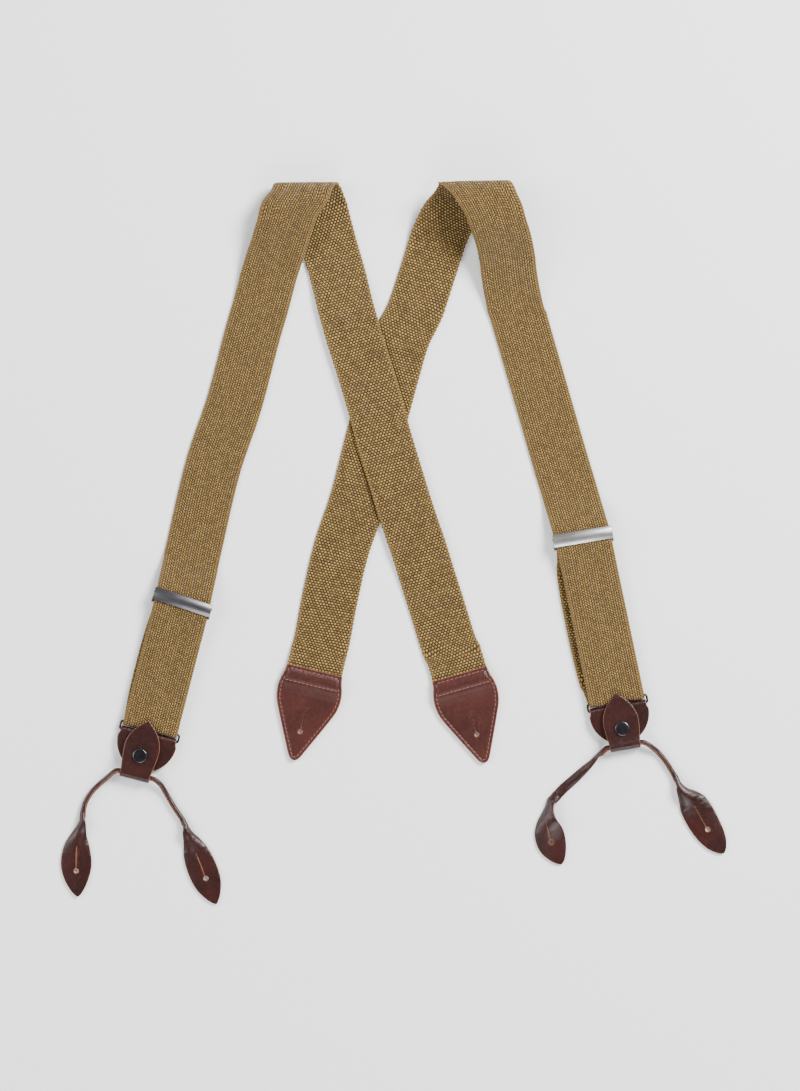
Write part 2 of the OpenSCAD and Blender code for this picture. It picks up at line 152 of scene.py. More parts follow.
class Recipe:
    """A material being mixed: its tree, and short ways to add nodes to it."""

    def __init__(self, name):
        self.material = bpy.data.materials.new(name)
        self.material.use_nodes = True
        self.tree = self.material.node_tree
        self.shader = self.tree.nodes["Principled BSDF"]

    def add(self, kind, **settings):
        node = self.tree.nodes.new(kind)
        for key, value in settings.items():
            setattr(node, key, value)
        return node

    def plug(self, source, target):
        if isinstance(source, bpy.types.NodeSocket):
            self.tree.links.new(source, target)
        else:
            target.default_value = source

    def calc(self, operation, *values):
        node = self.add("ShaderNodeMath", operation=operation)
        for value, socket in zip(values, node.inputs):
            self.plug(value, socket)
        return node.outputs[0]

    def times(self, first, second):
        return self.calc("MULTIPLY", first, second)

    def plus(self, first, second):
        return self.calc("ADD", first, second)

    def blend(self, factor, low, high):
        node = self.add("ShaderNodeMix", data_type="RGBA")
        self.plug(factor, node.inputs["Factor"])
        self.plug(low, node.inputs["A"])
        self.plug(high, node.inputs["B"])
        return node.outputs["Result"]

    def ramp(self, value, low, high):
        """value moved from low..high to 0..1."""
        node = self.add("ShaderNodeMapRange")
        self.plug(value, node.inputs["Value"])
        self.plug(low, node.inputs["From Min"])
        self.plug(high, node.inputs["From Max"])
        return node.outputs["Result"]

    def noise(self, coordinates, scale, detail=2.0, roughness=0.5, stretch=None):
        if stretch:
            mapping = self.add("ShaderNodeMapping")
            self.plug(coordinates, mapping.inputs["Vector"])
            mapping.inputs["Scale"].default_value = stretch
            coordinates = mapping.outputs["Vector"]
        node = self.add("ShaderNodeTexNoise")
        self.plug(coordinates, node.inputs["Vector"])
        node.inputs["Scale"].default_value = scale
        node.inputs["Detail"].default_value = detail
        node.inputs["Roughness"].default_value = roughness
        return node.outputs["Fac"]

    def object_coordinates(self):
        return self.add("ShaderNodeTexCoord").outputs["Object"]

    def bump(self, height, depth, strength=1.0):
        node = self.add("ShaderNodeBump")
        node.inputs["Strength"].default_value = strength
        node.inputs["Distance"].default_value = depth
        self.plug(height, node.inputs["Height"])
        self.plug(node.outputs["Normal"], self.shader.inputs["Normal"])

    def surface(self, **values):
        """Gives the shader its inputs, each a plain value or a node's output."""
        for key, value in values.items():
            self.plug(value, self.shader.inputs[SURFACE_INPUTS[key]])
        return self.material


def rgb(red, green, blue):
    """A colour picked as 0..255 screen values, in the linear values that shaders use."""
    def linear(value):
        value /= 255
        return value / 12.92 if value <= 0.04045 else ((value + 0.055) / 1.055) ** 2.4

    return (linear(red), linear(green), linear(blue), 1)


# %% Table top finish
def table_finish():
    recipe = Recipe("pale_table")
    speck = recipe.noise(recipe.object_coordinates(), 900, 2)
    return recipe.surface(colour=recipe.blend(speck, rgb(226, 226, 225), rgb(230, 230, 229)),
                          rough=0.9, specular=0.1)


table_top.data.materials.append(table_finish())

# %% [markdown]
# ## Webbing
#
# Braces webbing is a thick woven tape 38 mm wide. Its face is a fine twill and its back is
# coarse, with small raised pebbles in staggered rows. Down each edge runs a smooth selvedge. The
# shoulder fold turns the tape over, so the front of each strap shows the face and the rear leg
# shows the back.
#
# The weave is drawn in the tape's own flat coordinates, in millimetres across and along, which
# are kept as a UV map. It then follows the tape through every fold. The pebbles are also real
# relief in the mesh, so that they catch the light and nick the outline.

# %% Weave finishes
PEBBLE_ACROSS = 2.2
PEBBLE_ALONG = 1.7
TWILL_ACROSS = 1.6
TWILL_ALONG = 1.8
WEB_WIDTH = 37.6
WEB_THICK = 1.8
SELVEDGE = 2.0
SELVEDGE_RIPPLE = 3.7
THIN_EDGE = 0.9
ZIGZAG = 3.7
UV_UNIT = 100.0  # millimetres of tape to one unit of its UV map


def weave_cells(recipe, across, along, pitch_across, pitch_along, step):
    """Position inside each thread crossing, -0.5..0.5 both ways, and the crossing's number."""
    row = recipe.calc("FLOOR", recipe.calc("DIVIDE", along, pitch_along))
    shifted = recipe.plus(recipe.calc("DIVIDE", across, pitch_across), recipe.times(row, step))
    column = recipe.calc("FLOOR", shifted)
    in_across = recipe.calc("SUBTRACT", recipe.calc("FRACT", shifted), 0.5)
    in_along = recipe.calc(
        "SUBTRACT", recipe.calc("FRACT", recipe.calc("DIVIDE", along, pitch_along)), 0.5)
    number = recipe.add("ShaderNodeCombineXYZ")
    recipe.plug(column, number.inputs["X"])
    recipe.plug(row, number.inputs["Y"])
    return in_across, in_along, number.outputs["Vector"]


def pillow(recipe, value):
    """1 in the middle of a cell and 0 at its edge."""
    return recipe.calc("SUBTRACT", 1.0, recipe.times(recipe.times(value, value), 4.0))


def webbing_finish(name, pitch_across, pitch_along, step, zigzag, gap_shade, thread, crown, relief):
    """zigzag is the width of one herringbone band, or 0 for plain staggered rows."""
    recipe = Recipe(name)
    flat = recipe.add("ShaderNodeUVMap", uv_map="flat_mm")
    split = recipe.add("ShaderNodeSeparateXYZ")
    recipe.plug(flat.outputs["UV"], split.inputs["Vector"])
    across = recipe.times(split.outputs["X"], UV_UNIT)
    along = recipe.times(split.outputs["Y"], UV_UNIT)
    wobble = recipe.noise(flat.outputs["UV"], 9.0, 2)
    along_wobbled = recipe.plus(along, recipe.times(wobble, 1.6))
    if zigzag:
        band = recipe.calc("FRACT", recipe.calc("DIVIDE", across, 2 * zigzag))
        rise = recipe.calc("ABSOLUTE", recipe.calc("SUBTRACT", band, 0.5))
        along_wobbled = recipe.plus(along_wobbled, recipe.times(rise, 2 * zigzag * 0.8))
    in_across, in_along, number = weave_cells(
        recipe, across, along_wobbled, pitch_across, pitch_along, step)
    height = recipe.times(pillow(recipe, in_across), pillow(recipe, in_along))

    chance = recipe.add("ShaderNodeTexWhiteNoise", noise_dimensions="2D")
    recipe.plug(number, chance.inputs["Vector"])
    patch = recipe.noise(flat.outputs["UV"], 3.2, 3, stretch=(26, 1.4, 1))
    fibre = recipe.noise(flat.outputs["UV"], 140.0, 2)
    # Painted shade: the gaps between the threads are painted dark, and the colour rises to the
    # thread's own colour towards each thread's middle.
    colour = recipe.blend(recipe.ramp(height, 0.0, 0.5), gap_shade, thread)
    # Painted highlight: the raised top of each thread is lightened towards the crown colour, by a
    # different amount on each thread at random.
    lift = recipe.times(recipe.ramp(height, 0.35, 0.95),
                        recipe.ramp(chance.outputs["Value"], -0.35, 1.1))
    colour = recipe.blend(lift, colour, crown)
    selvedge = recipe.ramp(recipe.calc("ABSOLUTE", across),
                           WEB_WIDTH / 2 - SELVEDGE, WEB_WIDTH / 2 - SELVEDGE + 0.3)
    band = recipe.ramp(recipe.calc("SINE", recipe.times(along, SELVEDGE_RIPPLE)), -1.0, 1.0)
    edge_colour = recipe.blend(recipe.times(band, 0.5), thread, crown)
    colour = recipe.blend(recipe.times(selvedge, 0.65), colour, edge_colour)
    shade = recipe.add("ShaderNodeHueSaturation")
    recipe.plug(colour, shade.inputs["Color"])
    recipe.plug(recipe.plus(recipe.times(patch, 0.28),
                            recipe.plus(recipe.times(fibre, 0.26), 0.73)),
                shade.inputs["Value"])
    recipe.bump(recipe.plus(height, recipe.times(fibre, 0.35)), relief * MM)
    return recipe.surface(colour=shade.outputs["Color"], rough=0.88, specular=0.22,
                          sheen=0.12, sheen_rough=0.5)


# Each weave gets three colours: painted shade for the gaps between threads, the thread's own
# colour, and a lighter colour that is a painted highlight on the raised tops and also the light
# stripe along the selvedge.
webbing_back = webbing_finish(
    "webbing_back", PEBBLE_ACROSS, PEBBLE_ALONG, 0.5, 0,
    rgb(5, 3, 1), rgb(76, 54, 17), rgb(180, 145, 73), 1.0)
webbing_face = webbing_finish(
    "webbing_face", TWILL_ACROSS, TWILL_ALONG, 0.0, ZIGZAG,
    rgb(14, 9, 2), rgb(86, 62, 21), rgb(168, 134, 67), 1.0)

# %% [markdown]
# ### Laying a flat tape along a route
#
# Each stretch of webbing starts as a flat grid cut to its real size. A route says where the
# middle of the tape goes and, with an angle at each point, which way a straight line drawn
# across it lies. At a shoulder fold those lines stay level, which is what lets flat tape turn
# over without stretching. Every point of the grid finds the line it sits on and moves there.
# The routes are in millimetres and agree with the frame, save for the returning webbing.

# %% Routes
TAB_LINING = 1.2
HALF = WEB_THICK / 2
TAB_WEB_Z = TAB_LINING + 0.05 + HALF
WEB_OVER_BAR = 6.8
WIRE_Z = 2.7
REAR_BAR_Z = 2.9

rear_route = {
    "left": [(47.2, -97, TAB_WEB_Z, 16), (44.5, -87.5, TAB_WEB_Z, 16), (41, -76, 1.5, 16),
             (37, -67, HALF, 16), (30.5, -46, HALF, 15), (23.5, -24, 1.2, 14),
             (17, -3, 2.6, 13), (12.5, 10, 2.9, 13), (6, 30, 2.9, 13), (-7, 73, 2.9, 12),
             (-12.5, 94, 2.9, 9), (-19, 116, 2.9, 6), (-26, 138, 2.9, 3), (-32, 159, 2.8, 0),
             (-37.5, 181, 1.2, 0), (-43.5, 202, HALF, 0), (-49.5, 224, HALF, 0),
             (-53.5, 234.5, 1.7, 0), (-56.5, 240.5, 4.2, 0), (-58.5, 242.8, 7.4, 0)],
    "right": [(-55.2, -94.5, TAB_WEB_Z, -13.5), (-53, -85, TAB_WEB_Z, -13.5),
              (-50.5, -74, 1.5, -13.5), (-48, -64, HALF, -13.5), (-42.5, -35, HALF, -13),
              (-35, -3, HALF, -13), (-24, 30, HALF, -13), (-13, 73, HALF, -12),
              (-7, 94, HALF, -10), (-1, 116, HALF, -7), (5.5, 138, HALF, -4),
              (15, 159, HALF, 0), (22.5, 181, HALF, 0), (29.5, 203, 1.6, 0),
              (34, 213.5, 3.6, 0.5), (40, 224, 7, 1), (47, 234, 11.5, 1),
              (51.5, 241, 16.5, 1), (53.5, 242.6, 19.5, 1)],
}
fold_route = {
    "left": [(-58.5, 242.8, 7.4, 0), (-60.5, 240.7, 10.8, 0), (-63.5, 234.5, 13, 0),
             (-69.5, 224, 13.2, 0), (-73.5, 213, 10.7, 0), (-77, 202, 7.5, 0),
             (-80.5, 192, 4.9, 0), (-84, 181, 2.7, 0), (-87, 170, 1.4, 0), (-90, 159, HALF, 0),
             (-96, 138, HALF, -2), (-107.5, 94.5, HALF, -6), (-122, 51, HALF, -12)],
    "right": [(53.5, 242.6, 19.5, 1), (56, 241, 22, 1), (60.5, 235, 24, 1), (66.5, 224, 24.3, 1),
              (70.5, 213.5, 21.8, 0.5), (74, 203, 17, 0), (76.5, 192, 11.5, 0), (78, 181, 7, 0),
              (80, 170, 3.6, 0), (82.5, 159, 1.5, 0), (86, 148, HALF, 1),
              (101.5, 94.5, HALF, 7), (113.5, 53, HALF, 12)],
}

# %% Places read from the frame
class Place:
    """A flat spot on the object: its origin in millimetres and the way it is turned."""

    def __init__(self, origin, tilt):
        self.origin = np.array(origin, float)
        self.tilt = tilt
        turn = math.radians(tilt)
        self.x = np.array([math.cos(turn), math.sin(turn)])
        self.y = np.array([-math.sin(turn), math.cos(turn)])

    def point(self, x, y):
        return self.origin + x * self.x + y * self.y

    def matrix(self):
        """Moves a mesh made in metres at the origin to this place."""
        spot = Matrix.Translation((self.origin[0] * MM, self.origin[1] * MM, 0))
        return spot @ Matrix.Rotation(math.radians(self.tilt), 4, "Z")


def joint_place(name, back_by=0.0):
    """The place of a hinge, with its origin moved back_by millimetres along its y."""
    joint = joints[name]
    tilt = math.degrees(math.atan2(joint["axis"][1], joint["axis"][0]))
    place = Place(np.array(joint["pos_m"][:2]) / MM, tilt)
    place.origin = place.point(0, -back_by)
    return place


BAR_GAP = 5.5
CLAMP_Y = 1.0
TAB_TILT = {"left": 16, "right": -13.5}
TAB_HOLE_Y = -42.7
TAB_SLIT_TOP = -26
slider_place = {side: joint_place(f"{side}_clamp_open", CLAMP_Y) for side in SIDES}
ring_place = {side: joint_place(f"{side}_ring_swing", BAR_GAP / 2) for side in SIDES}
fold_place = {side: joint_place(f"{side}_snap_flap_open") for side in SIDES}
tab_place = {}
for side in SIDES:
    tab_place[side] = Place(np.array(mounts[f"{side}_rear_buttonhole"]["pos_m"][:2]) / MM,
                            TAB_TILT[side])
    tab_place[side].origin = tab_place[side].point(0, -TAB_HOLE_Y)
    print(side, "slider", slider_place[side].origin.round(1), "ring",
          ring_place[side].origin.round(1), "tab", tab_place[side].origin.round(1))

# %% Stretches of strap that start or end at the slider
UPPER_LEAN = {"left": 11.5, "right": -16}
RETURN_SHIFT = {"left": -1.7, "right": -4.6}


def above_slider(side, distance, z):
    lean = math.radians(UPPER_LEAN[side])
    x, y = slider_place[side].origin + distance * np.array([math.sin(lean), math.cos(lean)])
    return (x, y, z, slider_place[side].tilt)


def strap_route(side):
    return rear_route[side] + fold_route[side][1:] + [
        above_slider(side, 36, HALF), above_slider(side, 25, 2), above_slider(side, 16, 4.6),
        above_slider(side, 8, WEB_OVER_BAR - 0.2), above_slider(side, 4, WEB_OVER_BAR),
        above_slider(side, 0.2, WEB_OVER_BAR)]


def arc(y, z, radius, angles):
    return [(y + radius * math.cos(math.radians(a)), z + radius * math.sin(math.radians(a)))
            for a in angles]


def adjuster_route(side):
    """Down from the slider, round the wire loop and back up round the slider's rear bar."""
    slider, ring = slider_place[side], ring_place[side]
    run = ring.origin - slider.origin
    length = np.linalg.norm(run)
    run /= length
    half_gap = BAR_GAP / 2
    at_wire = WIRE_Z - HALF
    at_bar = REAR_BAR_Z - HALF
    aside = RETURN_SHIFT[side]

    def from_slider(distance, z, shift=0.0):
        return (*(slider.origin + distance * run + shift * slider.x), z, slider.tilt)

    def from_ring(distance, z, shift=0.0):
        return (*(ring.origin - distance * run + shift * ring.x), z, ring.tilt)

    return (
        [from_slider(0.2, WEB_OVER_BAR), from_slider(5, WEB_OVER_BAR),
         from_slider(10, WEB_OVER_BAR - 0.3), from_slider(18, 5.6), from_slider(28, 4.8),
         from_ring(25, WIRE_Z + at_wire), from_ring(12, WIRE_Z + at_wire)]
        + [from_ring(y, z) for y, z in arc(half_gap, WIRE_Z, at_wire, range(90, 271, 20))]
        + [from_ring(12, HALF, aside * 0.4), from_ring(24, HALF, aside * 0.85),
           from_ring(length / 2, HALF, aside), from_slider(27, HALF, aside * 0.8),
           from_slider(14, HALF, aside * 0.25)]
        + [from_slider(10 - y, z) for y, z in arc(5, REAR_BAR_Z, at_bar, range(-90, 91, 20))]
        + [from_slider(9, 4.2), from_slider(13.5, 3), from_slider(22, 2.8)])


# %% A route as a smooth line
def smooth(points, steps):
    """A curve through every point, with a number of steps between neighbours."""
    points = np.array(points, float)
    padded = np.vstack([points[:1], points, points[-1:]])
    t = (np.arange(steps) / steps)[:, None]
    rows = []
    for a, b, c, d in zip(padded, padded[1:], padded[2:], padded[3:]):
        rows.append((2 * b + (c - a) * t + (2 * a - 5 * b + 4 * c - d) * t**2
                     + (3 * b - a - 3 * c + d) * t**3) / 2)
    return np.vstack(rows + [points[-1:]])


def run_lengths(line):
    """How far along the line each of its points is."""
    return np.concatenate([[0], np.cumsum(np.linalg.norm(np.diff(line, axis=0), axis=1))])


def on_line(wanted, distance, line):
    """The rows of the line at the wanted distances."""
    return np.stack([np.interp(wanted, distance, column) for column in line.T], axis=1)


def headings(line, distance=None):
    """The unit direction of the line at each of its points."""
    ahead = np.gradient(line, *([] if distance is None else [distance]), axis=0)
    return ahead / np.linalg.norm(ahead, axis=1)[:, None]


ROUTE_STEPS = 24


class Route:
    """The middle line of a stretch of webbing, and the line across it at any distance.

    The stretch runs from one point of the list to another: the fold's outermost point is where
    the front leg and the rear leg meet, and both take the same line across it from there."""

    def __init__(self, points, first=0, last=None):
        line = smooth(points, ROUTE_STEPS)
        last = len(points) - 1 if last is None else last
        distance = run_lengths(line[:, :3])
        self.distance = distance - distance[first * ROUTE_STEPS]
        self.length = self.distance[last * ROUTE_STEPS]
        self.middle = line[:, :3]
        turn = np.radians(line[:, 3])
        self.across = np.stack([np.cos(turn), np.sin(turn), np.zeros(len(turn))], axis=1)
        ahead = headings(self.middle, self.distance)
        slant = np.cross(self.across, ahead)
        self.straight = np.linalg.norm(slant, axis=1)
        self.up = slant / self.straight[:, None]
        self.skew = (self.across * ahead).sum(axis=1) / self.straight

    def at(self, what, distance):
        values = getattr(self, what)
        if values.ndim == 1:
            return np.interp(distance, self.distance, values)
        return on_line(distance, self.distance, values)

    def lay(self, across, along, height):
        """Where points of the flat tape go, and how far each is along the route."""
        distance = along.copy()
        for _ in range(12):
            distance = 0.5 * distance + 0.5 * (along - across * self.at("skew", distance))
        reach = (across / self.at("straight", distance))[:, None]
        spots = (self.at("middle", distance) + reach * self.at("across", distance)
                 + height[:, None] * self.at("up", distance))
        return spots, distance


# %% Cut a stretch of tape
def pebble_relief(across, along):
    """Height of the back's pebbles, 0..1."""
    row = np.floor(along / PEBBLE_ALONG)
    in_across = np.mod(across / PEBBLE_ACROSS + 0.5 * row, 1) - 0.5
    in_along = np.mod(along / PEBBLE_ALONG, 1) - 0.5
    return (1 - 4 * in_across**2) * (1 - 4 * in_along**2)


def cut_tape(name, length, cell_across, cell_along):
    """A flat closed tape: a grid for the face, a grid for the back, and the edges between."""
    columns = round(WEB_WIDTH / cell_across)
    rows = round(length / cell_along)
    bpy.ops.mesh.primitive_grid_add(x_subdivisions=columns, y_subdivisions=rows, size=1)
    tape = active_object()
    tape.name = name
    for finish in (webbing_back, webbing_face, webbing_face):
        tape.data.materials.append(finish)
    apply_modifier(tape, "SOLIDIFY", thickness=1.0, offset=0, material_offset_rim=2,
                   material_offset=1)
    return tape


def mesh_points(obj):
    points = np.empty(len(obj.data.vertices) * 3)
    obj.data.vertices.foreach_get("co", points)
    return points.reshape(-1, 3)


def set_points(obj, points):
    obj.data.vertices.foreach_set("co", np.asarray(points, float).ravel())
    obj.data.update()


def store_flat(obj, across, along):
    """Keeps the flat tape's coordinates on the mesh as a UV map, one unit to 100 mm."""
    layer = obj.data.uv_layers.get("flat_mm") or obj.data.uv_layers.new(name="flat_mm")
    corners = np.empty(len(obj.data.loops), dtype=np.int32)
    obj.data.loops.foreach_get("vertex_index", corners)
    flat = np.stack([across[corners], along[corners]], axis=1) / UV_UNIT
    layer.data.foreach_set("uv", flat.astype(np.float32).ravel())


def lay_tape(name, route, back_up, relief):
    """Cuts a tape to the route's length, gives it its relief and lays it along the route."""
    cells = (PEBBLE_ACROSS / 4, PEBBLE_ALONG / 3) if relief else (1.2, 1.4)
    tape = cut_tape(name, route.length, *cells)
    flat = mesh_points(tape)
    across = flat[:, 0] * WEB_WIDTH
    along = (flat[:, 1] + 0.5) * route.length
    side = np.sign(flat[:, 2])
    edge = np.clip((np.abs(across) - (WEB_WIDTH / 2 - THIN_EDGE)) / THIN_EDGE, 0, 1)
    thick = HALF * (1 - 0.38 * edge**2)
    on_back = side > 0 if back_up else side < 0
    bumps = pebble_relief(across, along)
    fade = 1 - np.clip((np.abs(across) - (WEB_WIDTH / 2 - SELVEDGE)) / 0.5, 0, 1) * 0.6
    height = side * (thick + np.where(on_back, relief * (bumps - 0.75) * fade, 0))
    nick = np.where(np.abs(across) > WEB_WIDTH / 2 - 0.7,
                    relief * 0.5 * np.sin(along * 2 * math.pi / (2 * PEBBLE_ALONG)), 0)
    spots, distance = route.lay(across + np.sign(across) * nick, along, height)
    set_points(tape, spots * MM)
    store_flat(tape, across, along)
    bpy.ops.object.shade_smooth()
    print(name, "length", round(route.length, 1), "mm, faces", len(tape.data.polygons))
    return tape


# %% Rear legs
for side in SIDES:
    route = Route(strap_route(side), last=len(rear_route[side]) - 1)
    tape = lay_tape(f"{side}_rear_leg", route, True, 0.38)
    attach(tape, "straps")
    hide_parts(f"{side}_rear_webbing")

# %% Front legs
for side in SIDES:
    route = Route(strap_route(side), first=len(rear_route[side]) - 1)
    tape = lay_tape(f"{side}_front_leg", route, True, 0.0)
    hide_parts(f"{side}_front_webbing")
    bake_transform(tape)

# %% Adjuster loops
for side in SIDES:
    route = Route(adjuster_route(side))
    tape = lay_tape(f"{side}_adjuster_loop", route, False, 0.0)
    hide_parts(f"{side}_adjuster_loop_webbing")
    run = ring_place[side].origin - slider_place[side].origin
    start = (slider_place[side].origin + 0.26 * run) * MM
    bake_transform(tape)

# %% [markdown]
# ## Leather finishes
#
# The leather is dyed dark reddish brown on its grain side only. Wherever it is cut, at the
# edges, the slits and the holes, the undyed tan inside shows as a thin light line, so every
# leather piece carries two finishes. The back tabs are lined with the same undyed leather.

# %% Leather, raw edges and thread
def leather_finish(name, deep, warm, worn, rough):
    recipe = Recipe(name)
    place = recipe.object_coordinates()
    cloud = recipe.noise(place, 60, 4, 0.6)
    fine = recipe.noise(place, 420, 3, 0.6)
    colour = recipe.blend(recipe.ramp(cloud, 0.25, 0.8), deep, warm)
    colour = recipe.blend(recipe.times(recipe.ramp(fine, 0.5, 0.8), 0.3), colour, worn)
    grain = recipe.add("ShaderNodeTexVoronoi", feature="DISTANCE_TO_EDGE")
    grain.inputs["Scale"].default_value = 1100
    recipe.plug(place, grain.inputs["Vector"])
    pores = recipe.ramp(grain.outputs["Distance"], 0.0, 0.16)
    creases = recipe.noise(place, 190, 4, 0.65, stretch=(1.0, 0.45, 1.0))
    recipe.bump(recipe.plus(recipe.times(pores, 0.32), recipe.times(creases, 1.5)),
                0.17 * MM, 0.7)
    return recipe.surface(colour=colour, rough=recipe.plus(recipe.times(fine, 0.12), rough),
                          specular=0.33)


def raw_leather_finish(name, low, high):
    recipe = Recipe(name)
    fibre = recipe.noise(recipe.object_coordinates(), 900, 3, 0.7)
    recipe.bump(fibre, 0.08 * MM)
    return recipe.surface(colour=recipe.blend(recipe.ramp(fibre, 0.35, 0.65), low, high),
                          rough=0.85, specular=0.2)


def thread_finish():
    recipe = Recipe("waxed_thread")
    strands = recipe.noise(recipe.object_coordinates(), 1500, 2)
    return recipe.surface(colour=recipe.blend(strands, rgb(94, 50, 41), rgb(142, 88, 73)),
                          rough=0.6)


dark_leather = leather_finish("dark_leather", rgb(23, 6, 4), rgb(47, 14, 9), rgb(68, 28, 19),
                              0.25)
# The back tabs get a lighter copy of the dark leather: painted sheen, standing in for the broad
# gloss the tabs catch.
tab_leather_painted_sheen = leather_finish("tab_leather_painted_sheen", rgb(43, 17, 14), rgb(62, 28, 22), rgb(84, 45, 36),
                             0.25)
raw_edge = raw_leather_finish("raw_leather_edge", rgb(98, 56, 38), rgb(150, 100, 74))
lining_leather = raw_leather_finish("lining_leather", rgb(150, 108, 82), rgb(184, 140, 112))
waxed_thread = thread_finish()

# %% [markdown]
# ## Cutting leather
#
# A leatherworker stamps each piece from a flat hide, punches its holes, and only then bends it.
# The same order works here. A flat grid is fitted to the outline, with its edges rounded off,
# and a Boolean punches the buttonhole while the piece is still flat. The punch carries the
# undyed finish, so the walls of the hole and slit come out tan.

# %% A flat blank
EDGE_STEPS = (0, 0.18, 0.45, 0.9)
EDGE_SHARES = (0.5, 0.78, 0.94, 1.0)
PUNCH_TALL = 8
HOLE_RADIUS = 1.6
SLIT_WIDE = 0.26
WORN_DEEP = 0.22


def rounded_steps(inner_cells):
    """Places from one edge to the other, as a share of the half size and a fixed step in."""
    shares = [1.0] * (len(EDGE_STEPS) - 1) + list(np.linspace(1, 0, inner_cells // 2 + 1))
    steps = list(EDGE_STEPS[:-1]) + list(np.linspace(EDGE_STEPS[-1], 0, inner_cells // 2 + 1))
    thick = list(EDGE_SHARES[:-1]) + [1.0] * (inner_cells // 2 + 1)
    shares, steps, thick = (np.array(v, float) for v in (shares, steps, thick))
    return (np.concatenate([-shares, shares[-2::-1]]), np.concatenate([steps, -steps[-2::-1]]),
            np.concatenate([thick, thick[-2::-1]]))


def cut_blank(name, outline, thickness, cell=0.8, open_ends=(False, False)):
    """A flat closed piece with an outline of (half width, y), y falling from top to bottom.

    An open end isn't a cut edge of the leather: the next piece carries on from there."""
    outline = np.array(outline, float)
    top, bottom = outline[0, 1], outline[-1, 1]
    widest = outline[:, 0].max()
    col_share, col_step, col_thick = rounded_steps(2 * round(widest / cell))
    row_share, row_step, row_thick = rounded_steps(2 * round((top - bottom) / 2 / cell))
    bpy.ops.mesh.primitive_grid_add(x_subdivisions=len(col_share) - 1,
                                    y_subdivisions=len(row_share) - 1, size=1)
    blank = active_object()
    blank.name = name
    blank.data.materials.append(dark_leather)
    blank.data.materials.append(raw_edge)
    apply_modifier(blank, "SOLIDIFY", thickness=1.0, offset=0, material_offset_rim=1)
    flat = mesh_points(blank)
    column = np.rint((flat[:, 0] + 0.5) * (len(col_share) - 1)).astype(int)
    row = np.rint((0.5 - flat[:, 1]) * (len(row_share) - 1)).astype(int)
    y = (top + bottom) / 2 - row_share[row] * (top - bottom) / 2 - row_step[row]
    half = np.interp(-y, -outline[:, 1], outline[:, 0])
    x = col_share[column] * half + col_step[column] * np.minimum(1, half / 3)
    last_row = len(row_share) - 1
    if open_ends[0]:
        row_thick[:last_row // 2] = 1
    if open_ends[1]:
        row_thick[last_row // 2:] = 1
    share = col_thick[column] * row_thick[row]
    z = np.sign(flat[:, 2]) * thickness / 2 * share
    set_points(blank, np.stack([x, y, z], axis=1))
    mark_cut_edges(blank, column, row, len(col_share) - 1, last_row, open_ends)
    return blank


def mark_cut_edges(blank, column, row, last_column, last_row, open_ends):
    """Gives the outermost ring of faces the undyed finish."""
    for face in blank.data.polygons:
        across = column[list(face.vertices)]
        along = row[list(face.vertices)]
        edge = across.max() <= 1 or across.min() >= last_column - 1
        edge = edge or (along.max() <= 1 and not open_ends[0])
        edge = edge or (along.min() >= last_row - 1 and not open_ends[1])
        face.material_index = int(edge)


def punch(blank, x, y, size, z=0.0):
    """Drives one punch through a flat blank: round of a radius, or (width, length)."""
    if isinstance(size, tuple):
        bpy.ops.mesh.primitive_cube_add(size=1, location=(x, y, z))
        active_object().scale = (*size, PUNCH_TALL)
        bpy.ops.object.transform_apply(location=False, rotation=False, scale=True)
    else:
        bpy.ops.mesh.primitive_cylinder_add(vertices=32, radius=size, depth=PUNCH_TALL,
                                            location=(x, y, z))
    cutter = active_object()
    cutter.data.materials.append(raw_edge)
    apply_modifier(blank, "BOOLEAN", operation="DIFFERENCE", object=cutter, solver="EXACT",
                   material_mode="TRANSFER")
    bpy.data.objects.remove(cutter)


def buttonhole(blank, thickness, hole_y, slit_y, worn_width):
    """A round hole with a slit running into it, and the worn rim that both have on top."""
    middle, length = (hole_y + slit_y) / 2, abs(slit_y - hole_y)
    punch(blank, 0, hole_y, HOLE_RADIUS)
    punch(blank, 0, middle, (SLIT_WIDE, length))
    worn = thickness / 2 + PUNCH_TALL / 2 - WORN_DEEP
    punch(blank, 0, hole_y, HOLE_RADIUS + worn_width / 2, worn)
    punch(blank, 0, middle, (worn_width, length + 0.6), worn)


def finish_leather(piece, matrix=None):
    """Millimetres to metres, into place, and smooth across all but the sharp cut edges."""
    set_points(piece, mesh_points(piece) * MM)
    if matrix is not None:
        piece.data.transform(matrix)
    pick(piece)
    bpy.ops.object.shade_smooth_by_angle(angle=math.radians(40))


# %% [markdown]
# ### Bending along a profile
#
# A folded piece is described by its side view: a line of (y, z) points that the middle of the
# leather follows. A flat point's distance along the piece finds its place on that line.

# %% Bend
class Profile:
    """The side view of a bent piece, as a smooth line of (y, z), measured from its start."""

    def __init__(self, points, steps=6):
        self.line = smooth(points, steps)
        self.distance = run_lengths(self.line)
        self.length = self.distance[-1]
        ahead = headings(self.line, self.distance)
        self.up = np.stack([-ahead[:, 1], ahead[:, 0]], axis=1)

    def bend(self, points):
        """Flat (x, distance, height) to bent (x, y, z)."""
        spot = on_line(points[:, 1], self.distance, self.line)
        up = on_line(points[:, 1], self.distance, self.up)
        return np.hstack([points[:, :1], spot + points[:, 2:] * up])

    def distance_at_y(self, y, part):
        """Where along the piece its side view passes a height y, on part's stretch of it."""
        low, high = part
        stretch = (self.distance >= low) & (self.distance <= high)
        order = np.argsort(self.line[stretch, 0])
        return float(np.interp(y, self.line[stretch, 0][order], self.distance[stretch][order]))


# %% [markdown]
# ## Back tabs
#
# Each back tab is a pointed leather face on an undyed lining, with the end of the webbing sewn
# between them. Two rows of stitching cross the top, one above the other, and a third follows
# the edge right round. The thread pulls the leather down, so each row lies in a shallow groove.

